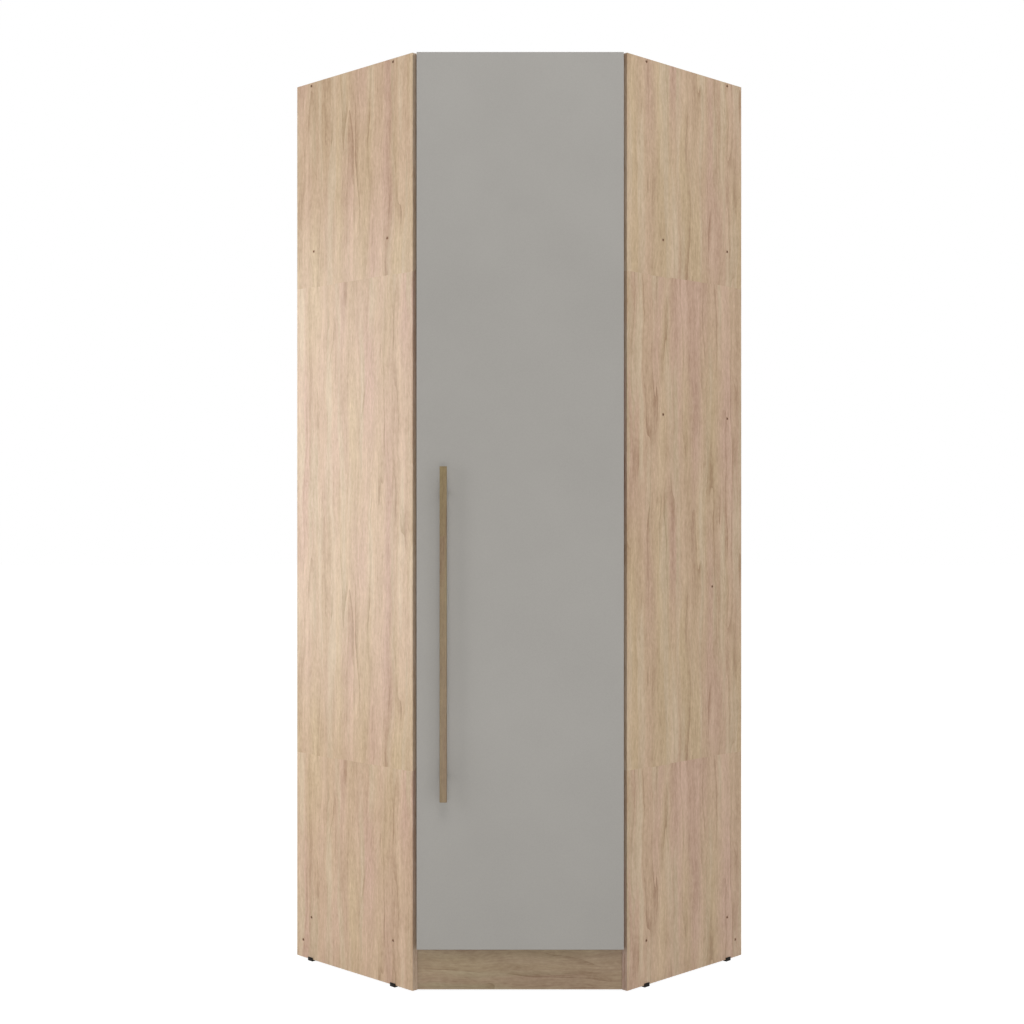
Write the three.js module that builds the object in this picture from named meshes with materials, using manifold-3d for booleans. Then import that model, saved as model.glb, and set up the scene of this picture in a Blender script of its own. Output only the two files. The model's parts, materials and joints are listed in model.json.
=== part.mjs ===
// A corner wardrobe with one door, as separate boards, fittings and fasteners.
// Lengths are in millimetres. +Z is up and the door faces -Y.
// The origin is on the floor, under the middle of the wardrobe's bounding box.

import * as THREE from "three";
import { mergeVertices } from "three/addons/utils/BufferGeometryUtils.js";
import Module from "manifold-3d";

const wasm = await Module();
wasm.setup();

// Carcass
const legLength = 800; // along a wall, from the room's corner to a side panel's outer face
const panelHeight = 2200;
const panelDepth = 441;
const boardThickness = 16;
const seatGap = 0.3; // between pieces that touch
const frontSetback = 2; // from the line of the inner corners back to the plinth's face
const plinthHeight = 97.5;

// Back and rear rails
const backThickness = 3;
const backSideInset = 3; // from a side panel's outer face to the back board's edge
const backTopInset = 2;
const cornerPostSide = 22;
const rearRailInset = 20.5; // from the wall to a rear rail

// Inner boards
const hatClearance = 400; // between the hat shelf and the top panel
const hatShelfSetback = 15; // from the line of the inner corners back to the hat shelf's edge
const columnBay = 403; // clear height between column shelves
const columnWidth = 288;
const columnSetback = 62; // along the side panel, from its front edge to the column's front

// Hanging rail
const railRadius = 12.5;
const railWall = 1;
const railDrop = 60; // from the hat shelf down to the rail's axis
const railOverhang = 12; // past its bracket
const railFit = 0.3; // between the tube and what holds it
const flangeRadius = 27;
const flangeBase = 3;
const collarWall = 2.5;
const collarLength = 14;
const bracketInset = 90; // from the wall to the bracket
const bracketWidth = 14; // along the rail
const bracketStem = 12;
const bracketPlateLength = 46;
const bracketPlateThickness = 2.5;

// Door
const doorThickness = 16;
const doorOverlay = 2.2; // past the inner corner on each side
const doorShift = 0.9; // towards the hinges
const doorGap = 3.7; // from the line of the inner corners to the door's back
const doorTopReveal = 1; // below the top of the side panels
const doorBottomReveal = 1.5; // above the lower face of the bottom panel
const bumperRadius = 5;
const bumperInset = 30; // from the door's free edge

// Handle
const handleLength = 780;
const handleWidth = 17;
const handleThickness = 8;
const handleChamfer = 1;
const handleStandoff = 25; // between the door and the bar
const handleInset = 63.5; // from the door's free edge to the bar's middle
const handleRise = 740; // from the door's lower edge to the bar's middle
const spacerRadius = 6;
const spacerInset = 62; // from an end of the bar to a spacer's axis
const handleScrew = {
  headRadius: 4,
  headLength: 2.2,
  shankRadius: 2,
  grip: 6, // into the bar
  socketRadius: 1.5,
  socketDepth: 1.2,
};

// Hinges
const hingeCount = 4;
const hingeEndInset = 100; // from the door's ends to the first and last hinge
const cupRadius = 17.5;
const cupDepth = 12.8;
const cupWall = 1;
const cupEdgeDistance = 22; // from the door's edge to the cup's axis
const flangeOverlap = 1.5; // of the cup's flange over the door, round the cup
const cupFlangeThickness = 1.2;
const wingReach = 30; // from the cup's axis to an end of its flange
const wingWidth = 12;
const wingInset = 9.5; // from the cup's axis towards the door's middle
const pivotInset = 9.5; // from the door's edge to the hinge's axis
const pivotDepth = 8.5; // from the door's back to the hinge's axis
const pinRadius = 1.5;
const pinFit = 0.2;
const eyeWall = 1.1;
const cheekWidth = 6;
const cheekRise = 2.5; // above the hinge's axis
const cheekReach = 7.5; // from the cup's middle to a cheek's far side
const armThickness = 2.5;
const armWidth = 8;
const armReach = 14; // from the hinge's axis towards the door's middle
const armRise = 17; // from the hinge's axis back to the arm's bend
const channelDepth = 9; // of the arm over its mounting plate
const channelWidth = 14;
const channelStart = 12; // from the side panel's front edge
const armOverhang = 4; // past the mounting plate
const plateSetback = 18; // from the side panel's front edge
const plateLength = 44;
const plateThickness = 2.5;
const plateWingLength = 18;
const plateWingReach = 24; // from the hinge's middle
const saddleWidth = 10;

// Screws through the side panels
const panelScrew = {
  headRadius: 3.2,
  headLength: 4,
  shankRadius: 2.4,
  length: 50,
  tipLength: 3,
  socketRadius: 1.6,
  socketDepth: 2.5,
};
const screwInset = 70; // from a board's front end
const screwRearInset = 58.4; // from the side panel's rear edge
const hatScrewRearInset = 67.8; // the same on the left end of the hat shelf
const lowerShelfScrewInset = 119.2; // the same for the lower column shelf
const railScrewHeight = 43.6;

// Glides
const glideThickness = 4;
const glideLength = 19;
const glideLip = 1.5;
const glideLipHeight = 5;
const glideFrontInset = 70; // from the side panel's front edge
const glideRearInset = 56; // from the side panel's rear edge
const railGlideInset = 40; // from the rail's end at the room's corner

// How finely round shapes are cut, and how close points are to be one point
const fineSides = 28;
const plainSides = 10;
const mergeDistance = 1e-4;

// Planes that follow from the sizes above, as distances from the walls
const rearEdge = backThickness + seatGap;
const frontEdge = rearEdge + panelDepth;
const innerFace = legLength - boardThickness;
const innerEnd = innerFace - seatGap;
const dividerNear = innerFace - columnWidth - boardThickness;
const dividerFar = dividerNear + boardThickness;
const columnFront = frontEdge - columnSetback;
const hangingMiddle = (rearEdge + dividerNear) / 2;

// Heights above the lower edges of the side panels
const floorOfInside = plinthHeight + boardThickness;
const topUnderside = panelHeight - boardThickness;
const hatUnderside = topUnderside - hatClearance - boardThickness;
const upperShelfUnderside = hatUnderside - columnBay - boardThickness;
const lowerShelfUnderside = upperShelfUnderside - columnBay - boardThickness;
const railHeight = hatUnderside - railDrop;
const halfBoard = boardThickness / 2;

// The room's corner and the line of the inner corners, in the part's own frame
const cornerToFront = (innerFace + frontEdge) / Math.SQRT2;
const depth = cornerToFront + doorGap + doorThickness + handleStandoff + handleThickness;
const cornerY = depth / 2;
const frontY = cornerY - cornerToFront;
const innerCornerX = (innerFace - frontEdge) / Math.SQRT2;
const lift = glideThickness + seatGap;

// Door edges, from the middle of the wardrobe and above the lower edges of the side panels
const doorRight = innerCornerX + doorOverlay + doorShift;
const doorLeft = doorShift - innerCornerX - doorOverlay;
const doorBottom = plinthHeight + doorBottomReveal;
const doorTop = panelHeight - doorTopReveal;
const doorFace = -doorGap - doorThickness;

const finishes = {
  oak: { color: 0xb99f82, roughness: 0.6, metalness: 0 },
  greyFront: { color: 0xa19e98, roughness: 0.55, metalness: 0 },
  hardboard: { color: 0xd8d2c6, roughness: 0.7, metalness: 0 },
  timber: { color: 0xcbb089, roughness: 0.7, metalness: 0 },
  steel: { color: 0xb9bbbd, roughness: 0.3, metalness: 1 },
  brownScrew: { color: 0x3c2c22, roughness: 0.5, metalness: 0.6 },
  blackPlastic: { color: 0x1d1c1b, roughness: 0.6, metalness: 0 },
  clearRubber: { color: 0xc9cac6, roughness: 0.4, metalness: 0 },
};

// A closed geometry as a solid that can be joined and cut
function solidOf(geometry) {
  const bare = geometry.clone();
  bare.deleteAttribute("normal");
  bare.deleteAttribute("uv");
  const merged = mergeVertices(bare, mergeDistance);
  return new wasm.Manifold(
    new wasm.Mesh({
      numProp: 3,
      vertProperties: merged.attributes.position.array,
      triVerts: new Uint32Array(merged.index.array),
    }),
  );
}

function geometryOf(solid) {
  const { numProp, vertProperties, triVerts } = solid.getMesh();
  const geometry = new THREE.BufferGeometry();
  geometry.setAttribute("position", new THREE.BufferAttribute(vertProperties, numProp));
  geometry.setIndex(new THREE.BufferAttribute(triVerts, 1));
  geometry.computeVertexNormals();
  return geometry;
}

function joined(...geometries) {
  return geometryOf(geometries.map(solidOf).reduce((whole, piece) => whole.add(piece)));
}

function cut(geometry, tools) {
  return geometryOf(
    tools.map(solidOf).reduce((left, tool) => left.subtract(tool), solidOf(geometry)),
  );
}

// A box between two opposite corners
function box(...corners) {
  const bounds = new THREE.Box3().setFromPoints(corners.map((c) => new THREE.Vector3(...c)));
  const size = bounds.getSize(new THREE.Vector3());
  const middle = bounds.getCenter(new THREE.Vector3());
  return new THREE.BoxGeometry(...size).translate(...middle);
}

// An upright prism over an outline in plan
function prism(outline, bottom, top) {
  const shape = new THREE.Shape(outline.map(([x, y]) => new THREE.Vector2(x, y)));
  const settings = { depth: top - bottom, bevelEnabled: false };
  return new THREE.ExtrudeGeometry(shape, settings).translate(0, 0, bottom);
}

// A turned shape about the Y axis, from radius and height pairs that start and end on it
function turned(profile, sides) {
  return new THREE.LatheGeometry(
    profile.map(([radius, height]) => new THREE.Vector2(radius, height)),
    sides,
  );
}

function addPiece(parent, name, geometry, finish, place = [0, 0, 0], turnAboutZ = 0) {
  const mesh = new THREE.Mesh(geometry, new THREE.MeshStandardMaterial(finishes[finish]));
  mesh.name = name;
  mesh.position.set(...place);
  mesh.rotation.z = turnAboutZ;
  parent.add(mesh);
  return mesh;
}

// A point in the walls' frame, from the distance along a side's own wall, the distance out
// from that wall and the height. In that frame +X runs along the right wall and -Y along the left.
function wallPoint(side, along, out, height) {
  return side === "right" ? [along, -out, height] : [out, -along, height];
}

function wallBox(side, from, to) {
  return box(wallPoint(side, ...from), wallPoint(side, ...to));
}

// A screw along +Y with its head's face at zero, made larger all over by a clearance
function screwShape(sizes, clearance) {
  const head = sizes.headRadius + clearance;
  const shank = sizes.shankRadius + clearance;
  const shoulder = sizes.headLength + clearance;
  const end = sizes.length + clearance;
  const mouth = -clearance;
  const socket =
    clearance > 0
      ? [[0, mouth]]
      : [
          [0, sizes.socketDepth],
          [sizes.socketRadius, sizes.socketDepth],
          [sizes.socketRadius, mouth],
        ];
  const tip = sizes.tipLength
    ? [
        [shank, end - sizes.tipLength],
        [shank / 2, end],
      ]
    : [[shank, end]];
  return turned(
    [...socket, [head, mouth], [head, shoulder], [shank, shoulder], ...tip, [0, end]],
    plainSides,
  );
}

// Each screw of a side: its name, the distance out from the side's own wall, and the height
function screwPlaces(side) {
  const front = frontEdge - screwInset;
  const rear = rearEdge + screwRearInset;
  const hatAlong = hatShelfSetback * Math.SQRT2;
  const column = front - columnSetback;
  const middleOf = (underside) => underside + halfBoard;
  const shared = [
    ["top_front", front, middleOf(topUnderside)],
    ["top_rear", rear, middleOf(topUnderside)],
    ["bottom_front", front, middleOf(plinthHeight)],
    ["bottom_rear", rear, middleOf(plinthHeight)],
    ["rail", rearRailInset + halfBoard, railScrewHeight],
  ];
  const own = {
    left: [
      ["hat_front", front - hatAlong, middleOf(hatUnderside)],
      ["hat_rear", rearEdge + hatScrewRearInset, middleOf(hatUnderside)],
    ],
    right: [
      ["hat_front", column, middleOf(hatUnderside)],
      ["hat_rear", rear, middleOf(hatUnderside)],
      ["upper_shelf_front", column, middleOf(upperShelfUnderside)],
      ["upper_shelf_rear", rear, middleOf(upperShelfUnderside)],
      ["lower_shelf", rearEdge + lowerShelfScrewInset, middleOf(lowerShelfUnderside)],
    ],
  };
  return [...shared, ...own[side]];
}

// The screws point from a side panel's outer face into the boards
function screwTurn(side) {
  return side === "right" ? Math.PI / 2 : 0;
}

function screwHoles() {
  return ["left", "right"].flatMap((side) =>
    screwPlaces(side).map(([, out, height]) =>
      screwShape(panelScrew, seatGap)
        .rotateZ(screwTurn(side))
        .translate(...wallPoint(side, legLength, out, height)),
    ),
  );
}

// Only the holes that reach a board are cut in it
function drilled(geometry, holes) {
  geometry.computeBoundingBox();
  const reached = holes.filter((hole) => {
    hole.computeBoundingBox();
    return hole.boundingBox.intersectsBox(geometry.boundingBox);
  });
  return cut(geometry, reached);
}

// A board that fills the corner of the room, its front edge across the wardrobe. A notch at the
// room's corner leaves room for the post.
function cornerBoard(setback, bottom, notch) {
  const frontSum = innerFace + frontEdge - setback * Math.SQRT2;
  const post = rearEdge + notch;
  const notched = [
    [rearEdge, -post],
    [post, -post],
    [post, -rearEdge],
  ];
  const outline = [
    ...(notch ? notched : [[rearEdge, -rearEdge]]),
    [innerEnd, -rearEdge],
    [innerEnd, innerEnd - frontSum],
    [frontSum - innerEnd, -innerEnd],
    [rearEdge, -innerEnd],
  ];
  return prism(outline, bottom, bottom + boardThickness);
}

function addSidePanels(walls, holes) {
  for (const side of ["left", "right"]) {
    const board = wallBox(side, [innerFace, rearEdge, 0], [legLength, frontEdge, panelHeight]);
    addPiece(walls, `${side}_side_panel`, drilled(board, holes), "oak");
  }
}

function addCornerBoards(walls, holes) {
  const notch = cornerPostSide + seatGap;
  const boards = [
    ["top_panel", frontSetback, topUnderside, 0],
    ["bottom_panel", frontSetback, plinthHeight, 0],
    ["hat_shelf", hatShelfSetback, hatUnderside, notch],
  ];
  for (const [name, setback, underside, cutOut] of boards) {
    addPiece(walls, name, drilled(cornerBoard(setback, underside, cutOut), holes), "oak");
  }
}

// The divider and the shelves between it and the right side panel
function addColumn(walls, holes) {
  const foot = floorOfInside + seatGap;
  const head = hatUnderside - seatGap;
  const divider = wallBox("right", [dividerNear, rearEdge, foot], [dividerFar, columnFront, head]);
  addPiece(walls, "column_divider", divider, "oak");
  const shelves = [
    ["upper_column_shelf", upperShelfUnderside],
    ["lower_column_shelf", lowerShelfUnderside],
  ];
  for (const [name, underside] of shelves) {
    const shelf = wallBox(
      "right",
      [dividerFar + seatGap, rearEdge, underside],
      [innerEnd, columnFront, underside + boardThickness],
    );
    addPiece(walls, name, drilled(shelf, holes), "oak");
  }
}

function addBack(walls) {
  const starts = { left: 0, right: backThickness + seatGap };
  for (const [side, start] of Object.entries(starts)) {
    const board = wallBox(
      side,
      [start, 0, plinthHeight],
      [legLength - backSideInset, backThickness, panelHeight - backTopInset],
    );
    addPiece(walls, `${side}_back_board`, board, "hardboard");
  }
  const post = wallBox(
    "right",
    [rearEdge, rearEdge, floorOfInside + seatGap],
    [rearEdge + cornerPostSide, rearEdge + cornerPostSide, topUnderside - seatGap],
  );
  addPiece(walls, "corner_post", post, "timber");
}

function addRearRails(walls, holes) {
  const front = rearRailInset + boardThickness;
  const starts = { left: rearRailInset, right: front + seatGap };
  for (const [side, start] of Object.entries(starts)) {
    const rail = wallBox(side, [start, rearRailInset, 0], [innerEnd, front, plinthHeight - seatGap]);
    addPiece(walls, `${side}_rear_rail`, drilled(rail, holes), "oak");
  }
}

function addPanelScrews(walls) {
  for (const side of ["left", "right"]) {
    for (const [name, out, height] of screwPlaces(side)) {
      const place = wallPoint(side, legLength, out, height);
      const screw = screwShape(panelScrew, 0);
      addPiece(walls, `${side}_screw_${name}`, screw, "brownScrew", place, screwTurn(side));
    }
  }
}

// A glide under a board, between two corners in plan, with a lip over the board's face that
// shares its far corner
function glide(side, near, far, lipNear) {
  const foot = wallBox(side, [...near, -lift], [...far, -seatGap]);
  const lip = wallBox(side, [...lipNear, -lift], [...far, glideLipHeight]);
  return joined(foot, lip);
}

function addGlides(walls) {
  const half = glideLength / 2;
  const panelLip = legLength + seatGap;
  const railLip = rearRailInset + boardThickness + seatGap;
  const middles = { front: frontEdge - glideFrontInset, rear: rearEdge + glideRearInset };
  for (const side of ["left", "right"]) {
    for (const [end, middle] of Object.entries(middles)) {
      const far = [panelLip + glideLip, middle + half];
      const shape = glide(side, [innerFace, middle - half], far, [panelLip, middle - half]);
      addPiece(walls, `${side}_${end}_glide`, shape, "blackPlastic");
    }
    const start = railLip + railGlideInset;
    const far = [start + glideLength, railLip + glideLip];
    const shape = glide(side, [start, rearRailInset], far, [start, railLip]);
    addPiece(walls, `${side}_rail_glide`, shape, "blackPlastic");
  }
}

function addHangingRail(walls) {
  const socket = railRadius + railFit;
  const collar = socket + collarWall;
  const flange = turned(
    [
      [0, 0],
      [flangeRadius, 0],
      [flangeRadius, flangeBase],
      [collar, flangeBase],
      [collar, collarLength],
      [socket, collarLength],
      [socket, flangeBase],
      [0, flangeBase],
    ],
    fineSides,
  );
  addPiece(walls, "rail_flange", flange, "steel", [hangingMiddle, -innerEnd, railHeight]);

  const start = -innerEnd + flangeBase + seatGap;
  const end = -bracketInset + bracketWidth / 2 + railOverhang;
  const bore = railRadius - railWall;
  const tube = turned(
    [
      [bore, start],
      [railRadius, start],
      [railRadius, end],
      [bore, end],
      [bore, start],
    ],
    fineSides,
  );
  addPiece(walls, "hanging_rail", tube, "steel", [hangingMiddle, 0, railHeight]);
  addPiece(walls, "rail_bracket", railBracket(socket, collar), "steel", [
    hangingMiddle,
    -bracketInset,
    railHeight,
  ]);
}

// A ring round the rail that hangs by a stem from a plate under the hat shelf
function railBracket(inner, outer) {
  const half = bracketWidth / 2;
  const top = railDrop - seatGap;
  const plateHalf = bracketPlateLength / 2;
  const stemHalf = bracketStem / 2;
  const band = (radius, reach) =>
    turned(
      [
        [0, -reach],
        [radius, -reach],
        [radius, reach],
        [0, reach],
      ],
      fineSides,
    );
  const stem = box([-stemHalf, -half, (inner + outer) / 2], [stemHalf, half, top]);
  const plate = box([-plateHalf, -half, top - bracketPlateThickness], [plateHalf, half, top]);
  return cut(joined(band(outer, half), stem, plate), [band(inner, bracketWidth)]);
}

// Plinth with mitred ends between the side panels
function addPlinth(front) {
  const face = frontSetback;
  const rear = frontSetback + boardThickness;
  const clear = innerCornerX - seatGap * Math.SQRT2;
  const outline = [
    [-clear - face, face],
    [clear + face, face],
    [clear + rear, rear],
    [-clear - rear, rear],
  ];
  addPiece(front, "front_plinth", prism(outline, 0, plinthHeight - seatGap), "oak");
}

function addBumpers(front) {
  const start = frontSetback - seatGap;
  const end = seatGap - doorGap;
  const bumper = () =>
    turned(
      [
        [0, end],
        [bumperRadius, end],
        [bumperRadius, start],
        [0, start],
      ],
      plainSides,
    );
  const x = doorLeft + bumperInset;
  const heights = { lower: plinthHeight + halfBoard, upper: topUnderside + halfBoard };
  for (const [name, height] of Object.entries(heights)) {
    addPiece(front, `${name}_door_bumper`, bumper(), "clearRubber", [x, 0, height]);
  }
}

// Places of the handle's two fixings, as X and height
function handleFixings() {
  const x = doorLeft + handleInset;
  const middle = doorBottom + handleRise;
  const reach = handleLength / 2 - spacerInset;
  return { lower: [x, middle - reach], upper: [x, middle + reach] };
}

// The screw comes from the door's back, through the spacer and into the bar
function handleScrewShape(clearance) {
  const length = handleScrew.headLength + seatGap + doorThickness + handleStandoff + handleScrew.grip;
  return screwShape({ ...handleScrew, length }, clearance).rotateX(Math.PI);
}

function handleScrewY() {
  return -doorGap + seatGap + handleScrew.headLength;
}

function addHandle(door, fixings) {
  const halfWidth = handleWidth / 2;
  const rear = doorFace - handleStandoff;
  const face = rear - handleThickness;
  const rearCut = rear - handleChamfer;
  const faceCut = face + handleChamfer;
  const narrow = halfWidth - handleChamfer;
  const outline = [
    [-narrow, face],
    [narrow, face],
    [halfWidth, faceCut],
    [halfWidth, rearCut],
    [narrow, rear],
    [-narrow, rear],
    [-halfWidth, rearCut],
    [-halfWidth, faceCut],
  ];
  const middle = doorBottom + handleRise;
  const [x] = fixings.lower;
  const bar = prism(outline, middle - handleLength / 2, middle + handleLength / 2).translate(x, 0, 0);
  addPiece(door, "handle_bar", cut(bar, fixingHoles(fixings)), "oak");

  const spacer = turned(
    [
      [0, rear + seatGap],
      [spacerRadius, rear + seatGap],
      [spacerRadius, doorFace - seatGap],
      [0, doorFace - seatGap],
    ],
    plainSides * 2,
  );
  for (const [name, [fixingX, height]] of Object.entries(fixings)) {
    const place = [fixingX, 0, height];
    const bored = cut(spacer, [handleScrewShape(seatGap).translate(0, handleScrewY(), 0)]);
    addPiece(door, `${name}_handle_spacer`, bored, "oak", place);
    const screwPlace = [fixingX, handleScrewY(), height];
    addPiece(door, `${name}_handle_screw`, handleScrewShape(0), "steel", screwPlace);
  }
}

function fixingHoles(fixings) {
  return Object.values(fixings).map(([x, height]) =>
    handleScrewShape(seatGap).translate(x, handleScrewY(), height),
  );
}

// Heights of the hinges, evenly spaced between the first and the last
function hingeHeights() {
  const first = doorBottom + hingeEndInset;
  const last = doorTop - hingeEndInset;
  const gaps = Math.max(hingeCount - 1, 1);
  return Array.from({ length: hingeCount }, (_, i) => first + ((last - first) * i) / gaps);
}

// Places in plan that the hinge's pieces share, from the middle of the front
const hinge = {
  pivotX: doorRight - pivotInset,
  pivotY: -doorGap - pivotDepth,
  cupX: doorRight - cupEdgeDistance,
};
// The arm's bend, as its distance along the side panel's inner face and out from that face
const bend = {
  x: hinge.pivotX - armReach,
  y: hinge.pivotY + armRise,
};
bend.along = (bend.x - innerCornerX + bend.y) / Math.SQRT2;
bend.out = (innerCornerX - bend.x + bend.y) / Math.SQRT2;

// A geometry made along and out from the right side panel's inner face, put in place
function ontoSidePanel(geometry) {
  return geometry.rotateZ(Math.PI / 4).translate(innerCornerX, 0, 0);
}

function cupHole() {
  const radius = cupRadius + seatGap;
  return turned(
    [
      [0, -cupDepth - seatGap],
      [radius, -cupDepth - seatGap],
      [radius, cupDepth],
      [0, cupDepth],
    ],
    fineSides,
  );
}

// The cup with its flange on the door's back, and the pin between two cheeks inside it
function hingeCup() {
  const bore = cupRadius - cupWall;
  const flangeTop = seatGap + cupFlangeThickness;
  const rim = cupRadius + flangeOverlap;
  const shell = turned(
    [
      [0, -cupDepth],
      [cupRadius, -cupDepth],
      [cupRadius, seatGap],
      [rim, seatGap],
      [rim, flangeTop],
      [bore, flangeTop],
      [bore, cupWall - cupDepth],
      [0, cupWall - cupDepth],
    ],
    fineSides,
  );
  const pinX = cupEdgeDistance - pivotInset;
  const cheekNear = (armWidth + cupWall) / 2;
  const parts = [shell];
  for (const way of [-1, 1]) {
    parts.push(
      box(
        [-wingInset - wingWidth / 2, seatGap, way * cupRadius],
        [-wingInset + wingWidth / 2, flangeTop, way * wingReach],
      ),
      box(
        [pinX - cheekWidth / 2, -cupDepth + cupWall / 2, way * cheekNear],
        [pinX + cheekWidth / 2, cheekRise - pivotDepth, way * cheekReach],
      ),
    );
  }
  const pinLength = cheekNear + cheekReach;
  const pin = new THREE.CylinderGeometry(pinRadius, pinRadius, pinLength, plainSides)
    .rotateX(Math.PI / 2)
    .translate(pinX, -pivotDepth, 0);
  return joined(...parts, pin);
}

// A strip of the arm between two points in plan, with its ends run on by half its thickness
function armStrip([x0, y0], [x1, y1]) {
  const length = Math.hypot(x1 - x0, y1 - y0) + armThickness;
  return new THREE.BoxGeometry(length, armThickness, armWidth)
    .rotateZ(Math.atan2(y1 - y0, x1 - x0))
    .translate((x0 + x1) / 2, (y0 + y1) / 2, 0);
}

// The arm turns on the pin, leaves the cup, bends and lies over the mounting plate
function hingeArm() {
  const eyeInner = pinRadius + pinFit;
  const eyeOuter = eyeInner + eyeWall;
  const upright = (radius, length) =>
    new THREE.CylinderGeometry(radius, radius, length, plainSides * 2)
      .rotateX(Math.PI / 2)
      .translate(hinge.pivotX, hinge.pivotY, 0);
  const end = plateSetback + plateLength + armOverhang;
  const top = bend.out + armThickness / 2;
  const channel = ontoSidePanel(
    box(
      [channelStart, top - channelDepth, -channelWidth / 2],
      [end, top, channelWidth / 2],
    ),
  );
  const neck = [
    armStrip([hinge.pivotX, hinge.pivotY], [bend.x, hinge.pivotY]),
    armStrip([bend.x, hinge.pivotY], [bend.x, bend.y]),
    armStrip(
      [bend.x, bend.y],
      [
        innerCornerX + (channelStart - bend.out) / Math.SQRT2,
        (channelStart + bend.out) / Math.SQRT2,
      ],
    ),
  ];
  return cut(joined(upright(eyeOuter, armWidth), ...neck, channel), [upright(eyeInner, channelWidth)]);
}

// The mounting plate: a base with two wings on the side panel, and a saddle under the arm
function hingePlate() {
  const baseTop = seatGap + plateThickness;
  const saddleTop = bend.out + armThickness / 2 - channelDepth - seatGap;
  const middle = plateSetback + plateLength / 2;
  const halfWing = plateWingLength / 2;
  const halfSaddle = saddleWidth / 2;
  return joined(
    ontoSidePanel(
      box([middle - halfWing, seatGap, -plateWingReach], [middle + halfWing, baseTop, plateWingReach]),
    ),
    ontoSidePanel(
      box([plateSetback, seatGap, -halfSaddle], [plateSetback + plateLength, saddleTop, halfSaddle]),
    ),
  );
}

function addHinges(front, door) {
  hingeHeights().forEach((height, i) => {
    const name = `hinge_${i + 1}`;
    addPiece(door, `${name}_cup`, hingeCup(), "steel", [hinge.cupX, -doorGap, height]);
    addPiece(front, `${name}_arm`, hingeArm(), "steel", [0, 0, height]);
    addPiece(front, `${name}_plate`, hingePlate(), "steel", [0, 0, height]);
  });
}

function addDoorPanel(door, fixings) {
  const panel = box([doorLeft, -doorGap, doorBottom], [doorRight, doorFace, doorTop]);
  const cups = hingeHeights().map((height) => cupHole().translate(hinge.cupX, -doorGap, height));
  addPiece(door, "door_panel", cut(panel, [...cups, ...fixingHoles(fixings)]), "greyFront");
}

const wardrobe = new THREE.Group();

// Boards along the walls are placed from the room's corner, in a frame turned to the walls
const walls = new THREE.Group();
walls.position.set(0, cornerY, lift);
walls.rotation.z = -Math.PI / 4;
wardrobe.add(walls);

const holes = screwHoles();
addSidePanels(walls, holes);
addCornerBoards(walls, holes);
addColumn(walls, holes);
addBack(walls);
addRearRails(walls, holes);
addPanelScrews(walls);
addGlides(walls);
addHangingRail(walls);

// What lies along the front is placed from the line between the inner corners
const front = new THREE.Group();
front.position.set(0, frontY, lift);
wardrobe.add(front);

const door = new THREE.Group();
front.add(door);

const fixings = handleFixings();
addPlinth(front);
addBumpers(front);
addDoorPanel(door, fixings);
addHandle(door, fixings);
addHinges(front, door);

export default wardrobe;
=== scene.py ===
# A corner wardrobe with one door, with the finishes and fittings of the real one.
# Lengths are in metres. +Z is up and the door faces -Y.

import json
import math

import bmesh
import bpy
from mathutils import Matrix, Vector


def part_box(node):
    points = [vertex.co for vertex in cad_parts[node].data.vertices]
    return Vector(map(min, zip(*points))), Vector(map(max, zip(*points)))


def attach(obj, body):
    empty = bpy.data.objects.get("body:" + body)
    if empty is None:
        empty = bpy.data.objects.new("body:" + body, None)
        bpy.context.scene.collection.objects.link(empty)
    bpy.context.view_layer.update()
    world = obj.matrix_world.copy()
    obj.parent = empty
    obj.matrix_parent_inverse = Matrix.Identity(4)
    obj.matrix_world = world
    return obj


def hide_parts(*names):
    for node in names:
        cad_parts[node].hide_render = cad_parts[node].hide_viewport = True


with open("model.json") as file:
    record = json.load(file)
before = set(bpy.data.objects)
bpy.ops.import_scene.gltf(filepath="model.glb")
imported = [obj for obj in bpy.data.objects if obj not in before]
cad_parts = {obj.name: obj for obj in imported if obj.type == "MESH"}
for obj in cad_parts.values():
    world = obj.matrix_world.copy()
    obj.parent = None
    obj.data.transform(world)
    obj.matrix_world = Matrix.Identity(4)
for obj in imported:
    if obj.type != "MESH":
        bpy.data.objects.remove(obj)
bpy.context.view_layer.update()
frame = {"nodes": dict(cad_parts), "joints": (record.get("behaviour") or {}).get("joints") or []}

MM = 0.001
UP = Vector((0, 0, 1))
FRONT_TO_BACK = Vector((0, 1, 0))
LEFT_TO_RIGHT = Vector((1, 0, 0))
# The side panels stand along two walls that meet behind the wardrobe
RIGHT_WALL = Vector((1, -1, 0)).normalized()  # from the room's corner
LEFT_WALL = Vector((-1, -1, 0)).normalized()
# From each side panel into the wardrobe
INWARD = {"right": -RIGHT_WALL, "left": -LEFT_WALL}

# Camera, level and facing the door
CAMERA_PLACE = (-0.0184, -4.2252, 1.1272)
LENS = 57.09
SENSOR = 36.0

# Edges of the boards
EDGE_ROUND = 1.0 * MM
LEAST_CORNER = math.radians(40)

# Fittings that stand in for the plain solids
SEAT_GAP = 0.3 * MM  # between pieces that touch
SOFT_EDGE = 0.4 * MM
FINE_SIDES = 48
SCREW_SIDES = 24
SMOOTH_TURN = math.radians(35)  # faces that meet at less are shaded as one
SAME_POINT = 0.001 * MM


def linear(colour):
    """An sRGB hex colour as linear red, green, blue and alpha."""
    channels = [int(colour[i : i + 2], 16) / 255 for i in (1, 3, 5)]
    curve = [c / 12.92 if c <= 0.04045 else ((c + 0.055) / 1.055) ** 2.4 for c in channels]
    return (*curve, 1.0)


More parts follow.
